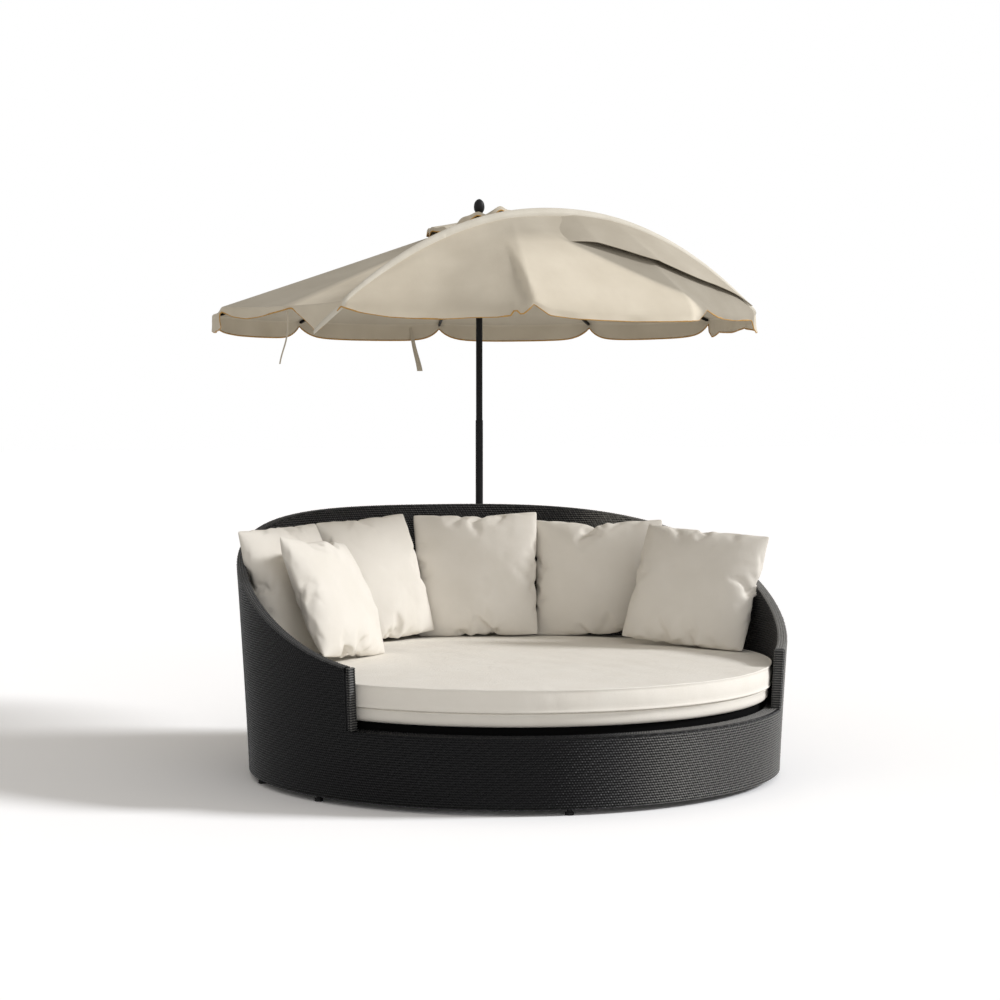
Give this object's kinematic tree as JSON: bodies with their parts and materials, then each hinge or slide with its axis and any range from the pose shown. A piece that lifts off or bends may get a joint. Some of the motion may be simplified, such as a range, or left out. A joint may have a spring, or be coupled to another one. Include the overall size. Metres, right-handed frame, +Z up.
{
  "type": "outdoor daybed with canopy",
  "caption": "Round woven outdoor daybed with a curved back wall, a deep seat cushion, scatter pillows and a folding parasol canopy on a pole behind the back.",
  "frame": {"origin": "on the floor under the middle of the round base, at the middle of the frame's central foot plate", "axes": "+Z up, -Y towards the open front of the bed, +X to the right of a person who faces the bed"},
  "size_m": [2.1865, 2.885, 2.032],
  "materials": {
    "resin_weave": "satin",
    "coated_aluminium": "satin",
    "painted_steel": "satin",
    "moulded_plastic": "satin",
    "plywood": "matte",
    "cushion_cloth": "matte",
    "canopy_cloth": "matte"
  },
  "bodies": {
    "bed": {"base_woven_skin": "resin_weave", "base_frame": "coated_aluminium", "seat_deck": "plywood", "wall_woven_skin": "resin_weave", "wall_frame": "coated_aluminium", "pole_socket": "painted_steel", "pole_bracket": "painted_steel", "foot_1": "moulded_plastic", "foot_2": "moulded_plastic", "foot_3": "moulded_plastic", "foot_4": "moulded_plastic", "foot_5": "moulded_plastic"},
    "clamp_knob": {"clamp_knob": "moulded_plastic"},
    "lower_pole": {"lower_pole": "painted_steel"},
    "upper_pole": {"upper_pole": "painted_steel", "hub": "moulded_plastic", "finial": "moulded_plastic", "vent_cap": "canopy_cloth"},
    "runner": {"runner": "moulded_plastic"},
    "runner_catch_button": {"runner_catch_button": "painted_steel"},
    "seat_cushion": {"seat_cushion": "cushion_cloth"},
    "pillow_back_left": {"pillow_back_left": "cushion_cloth"},
    "pillow_left_front": {"pillow_left_front": "cushion_cloth"},
    "pillow_left_middle": {"pillow_left_middle": "cushion_cloth"},
    "pillow_centre": {"pillow_centre": "cushion_cloth"},
    "pillow_right_middle": {"pillow_right_middle": "cushion_cloth"},
    "pillow_right": {"pillow_right": "cushion_cloth"},
    "rib_1": {"rib_1": "coated_aluminium", "canopy_panel_1": "canopy_cloth", "hood_bow": "coated_aluminium", "tie_strap_1": "canopy_cloth"},
    "stretcher_1": {"stretcher_1": "coated_aluminium"},
    "rib_2": {"rib_2": "coated_aluminium", "canopy_panel_2": "canopy_cloth"},
    "stretcher_2": {"stretcher_2": "coated_aluminium"},
    "rib_3": {"rib_3": "coated_aluminium", "canopy_panel_3": "canopy_cloth"},
    "stretcher_3": {"stretcher_3": "coated_aluminium"},
    "rib_4": {"rib_4": "coated_aluminium", "canopy_panel_4": "canopy_cloth"},
    "stretcher_4": {"stretcher_4": "coated_aluminium"},
    "rib_5": {"rib_5": "coated_aluminium", "canopy_panel_5": "canopy_cloth"},
    "stretcher_5": {"stretcher_5": "coated_aluminium"},
    "rib_6": {"rib_6": "coated_aluminium", "canopy_panel_6": "canopy_cloth"},
    "stretcher_6": {"stretcher_6": "coated_aluminium"},
    "rib_7": {"rib_7": "coated_aluminium", "canopy_panel_7": "canopy_cloth", "tie_strap_2": "canopy_cloth"},
    "stretcher_7": {"stretcher_7": "coated_aluminium"},
    "rib_8": {"rib_8": "coated_aluminium", "canopy_panel_8": "canopy_cloth"},
    "stretcher_8": {"stretcher_8": "coated_aluminium"},
    "rib_9": {"rib_9": "coated_aluminium", "canopy_panel_9": "canopy_cloth"},
    "stretcher_9": {"stretcher_9": "coated_aluminium"},
    "rib_10": {"rib_10": "coated_aluminium", "canopy_panel_10": "canopy_cloth"},
    "stretcher_10": {"stretcher_10": "coated_aluminium"}
  },
  "joints": [
    {"name": "clamp_knob_turn", "type": "hinge", "parent": "bed", "child": "clamp_knob", "pos_m": [0.22102, 0.96501, 0.7659], "axis": [0.2233, 0.9748, 0], "range_deg": [0, 360]},
    {"name": "pole_turn", "type": "hinge", "parent": "bed", "child": "lower_pole", "pos_m": [0.21656, 0.94556, 0.1], "axis": [0, 0, 1], "continuous": true},
    {"name": "pole_height", "type": "slide", "parent": "lower_pole", "child": "upper_pole", "axis": [0, 0, 1], "range_m": [0, 0.25]},
    {"name": "runner_slide", "type": "slide", "parent": "upper_pole", "child": "runner", "axis": [0, 0, -1], "range_m": [0, 0.4045]},
    {"name": "runner_catch_press", "type": "slide", "parent": "runner", "child": "runner_catch_button", "axis": [0.342, 0.9397, 0], "range_m": [0, 0.0035], "stiffness_N_per_m": 400, "springref_m": -0.002},
    {"name": "rib_1_fold", "type": "hinge", "parent": "upper_pole", "child": "rib_1", "pos_m": [0.19335, 0.92353, 1.928], "axis": [0.6884, -0.7254, 0], "range_deg": [0, 61.47], "deforming": ["canopy_panel_1", "hood_bow", "tie_strap_1"]},
    {"name": "stretcher_1_fold", "type": "hinge", "parent": "runner", "child": "stretcher_1", "pos_m": [0.1919, 0.92215, 1.66188], "axis": [-0.6884, 0.7254, 0], "range_deg": [0, 53.58]},
    {"name": "rib_2_fold", "type": "hinge", "parent": "upper_pole", "child": "rib_2", "pos_m": [0.21073, 0.91409, 1.928], "axis": [0.9833, -0.1822, 0], "range_deg": [0, 61.47], "deforming": ["canopy_panel_2"]},
    {"name": "stretcher_2_fold", "type": "hinge", "parent": "runner", "child": "stretcher_2", "pos_m": [0.21037, 0.91213, 1.66188], "axis": [-0.9833, 0.1822, 0], "range_deg": [0, 53.58]},
    {"name": "rib_3_fold", "type": "hinge", "parent": "upper_pole", "child": "rib_3", "pos_m": [0.23034, 0.91668, 1.928], "axis": [0.9026, 0.4305, 0], "range_deg": [0, 61.47], "deforming": ["canopy_panel_3"]},
    {"name": "stretcher_3_fold", "type": "hinge", "parent": "runner", "child": "stretcher_3", "pos_m": [0.2312, 0.91487, 1.66188], "axis": [-0.9026, -0.4305, 0], "range_deg": [0, 53.58]},
    {"name": "rib_4_fold", "type": "hinge", "parent": "upper_pole", "child": "rib_4", "pos_m": [0.24468, 0.93029, 1.928], "axis": [0.4772, 0.8788, 0], "range_deg": [0, 61.47], "deforming": ["canopy_panel_4"]},
    {"name": "stretcher_4_fold", "type": "hinge", "parent": "runner", "child": "stretcher_4", "pos_m": [0.24644, 0.92933, 1.66188], "axis": [-0.4772, -0.8788, 0], "range_deg": [0, 53.58]},
    {"name": "rib_5_fold", "type": "hinge", "parent": "upper_pole", "child": "rib_5", "pos_m": [0.24829, 0.94973, 1.928], "axis": [-0.1305, 0.9914, 0], "range_deg": [0, 61.47], "deforming": ["canopy_panel_5"]},
    {"name": "stretcher_5_fold", "type": "hinge", "parent": "runner", "child": "stretcher_5", "pos_m": [0.25027, 0.95, 1.66188], "axis": [0.1305, -0.9914, 0], "range_deg": [0, 53.58]},
    {"name": "rib_6_fold", "type": "hinge", "parent": "upper_pole", "child": "rib_6", "pos_m": [0.23977, 0.96759, 1.928], "axis": [-0.6884, 0.7254, 0], "range_deg": [0, 61.47], "deforming": ["canopy_panel_6"]},
    {"name": "stretcher_6_fold", "type": "hinge", "parent": "runner", "child": "stretcher_6", "pos_m": [0.24122, 0.96896, 1.66188], "axis": [0.6884, -0.7254, 0], "range_deg": [0, 53.58]},
    {"name": "rib_7_fold", "type": "hinge", "parent": "upper_pole", "child": "rib_7", "pos_m": [0.22239, 0.97702, 1.928], "axis": [-0.9833, 0.1822, 0], "range_deg": [0, 61.47], "deforming": ["canopy_panel_7", "tie_strap_2"]},
    {"name": "stretcher_7_fold", "type": "hinge", "parent": "runner", "child": "stretcher_7", "pos_m": [0.22276, 0.97899, 1.66188], "axis": [0.9833, -0.1822, 0], "range_deg": [0, 53.58]},
    {"name": "rib_8_fold", "type": "hinge", "parent": "upper_pole", "child": "rib_8", "pos_m": [0.20278, 0.97444, 1.928], "axis": [-0.9026, -0.4305, 0], "range_deg": [0, 61.47], "deforming": ["canopy_panel_8"]},
    {"name": "stretcher_8_fold", "type": "hinge", "parent": "runner", "child": "stretcher_8", "pos_m": [0.20192, 0.97625, 1.66188], "axis": [0.9026, 0.4305, 0], "range_deg": [0, 53.58]},
    {"name": "rib_9_fold", "type": "hinge", "parent": "upper_pole", "child": "rib_9", "pos_m": [0.18844, 0.96083, 1.928], "axis": [-0.4772, -0.8788, 0], "range_deg": [0, 61.47], "deforming": ["canopy_panel_9"]},
    {"name": "stretcher_9_fold", "type": "hinge", "parent": "runner", "child": "stretcher_9", "pos_m": [0.18668, 0.96178, 1.66188], "axis": [0.4772, 0.8788, 0], "range_deg": [0, 53.58]},
    {"name": "rib_10_fold", "type": "hinge", "parent": "upper_pole", "child": "rib_10", "pos_m": [0.18483, 0.94138, 1.928], "axis": [0.1305, -0.9914, 0], "range_deg": [0, 61.47], "deforming": ["canopy_panel_10"]},
    {"name": "stretcher_10_fold", "type": "hinge", "parent": "runner", "child": "stretcher_10", "pos_m": [0.18285, 0.94112, 1.66188], "axis": [-0.1305, 0.9914, 0], "range_deg": [0, 53.58]},
    {"name": "seat_lift", "type": "slide", "parent": "bed", "child": "seat_cushion", "axis": [0, 0, 1], "range_m": [0, 0.12]},
    {"name": "back_left_pillow_lift", "type": "slide", "parent": "seat_cushion", "child": "pillow_back_left", "axis": [-0.1697, 0.2095, 0.963], "range_m": [0, 0.12]},
    {"name": "left_front_pillow_lift", "type": "slide", "parent": "seat_cushion", "child": "pillow_left_front", "axis": [0.2135, -0.1923, 0.9578], "range_m": [0, 0.12]},
    {"name": "left_middle_pillow_lift", "type": "slide", "parent": "seat_cushion", "child": "pillow_left_middle", "axis": [0.0522, -0.1071, 0.9929], "range_m": [0, 0.12]},
    {"name": "centre_pillow_lift", "type": "slide", "parent": "seat_cushion", "child": "pillow_centre", "axis": [0, 0, 1], "range_m": [0, 0.12]},
    {"name": "right_middle_pillow_lift", "type": "slide", "parent": "seat_cushion", "child": "pillow_right_middle", "axis": [0, 0, 1], "range_m": [0, 0.12]},
    {"name": "right_pillow_lift", "type": "slide", "parent": "seat_cushion", "child": "pillow_right", "axis": [-0.0383, -0.0321, 0.9988], "range_m": [0, 0.12]}
  ],
  "couplings": [
    {"joint": "rib_1_fold", "follows": "runner_slide", "rad_per_m": 2.6502},
    {"joint": "stretcher_1_fold", "follows": "runner_slide", "rad_per_m": 2.3098},
    {"joint": "rib_2_fold", "follows": "runner_slide", "rad_per_m": 2.6502},
    {"joint": "stretcher_2_fold", "follows": "runner_slide", "rad_per_m": 2.3098},
    {"joint": "rib_3_fold", "follows": "runner_slide", "rad_per_m": 2.6502},
    {"joint": "stretcher_3_fold", "follows": "runner_slide", "rad_per_m": 2.3098},
    {"joint": "rib_4_fold", "follows": "runner_slide", "rad_per_m": 2.6502},
    {"joint": "stretcher_4_fold", "follows": "runner_slide", "rad_per_m": 2.3098},
    {"joint": "rib_5_fold", "follows": "runner_slide", "rad_per_m": 2.6502},
    {"joint": "stretcher_5_fold", "follows": "runner_slide", "rad_per_m": 2.3098},
    {"joint": "rib_6_fold", "follows": "runner_slide", "rad_per_m": 2.6502},
    {"joint": "stretcher_6_fold", "follows": "runner_slide", "rad_per_m": 2.3098},
    {"joint": "rib_7_fold", "follows": "runner_slide", "rad_per_m": 2.6502},
    {"joint": "stretcher_7_fold", "follows": "runner_slide", "rad_per_m": 2.3098},
    {"joint": "rib_8_fold", "follows": "runner_slide", "rad_per_m": 2.6502},
    {"joint": "stretcher_8_fold", "follows": "runner_slide", "rad_per_m": 2.3098},
    {"joint": "rib_9_fold", "follows": "runner_slide", "rad_per_m": 2.6502},
    {"joint": "stretcher_9_fold", "follows": "runner_slide", "rad_per_m": 2.3098},
    {"joint": "rib_10_fold", "follows": "runner_slide", "rad_per_m": 2.6502},
    {"joint": "stretcher_10_fold", "follows": "runner_slide", "rad_per_m": 2.3098}
  ]
}
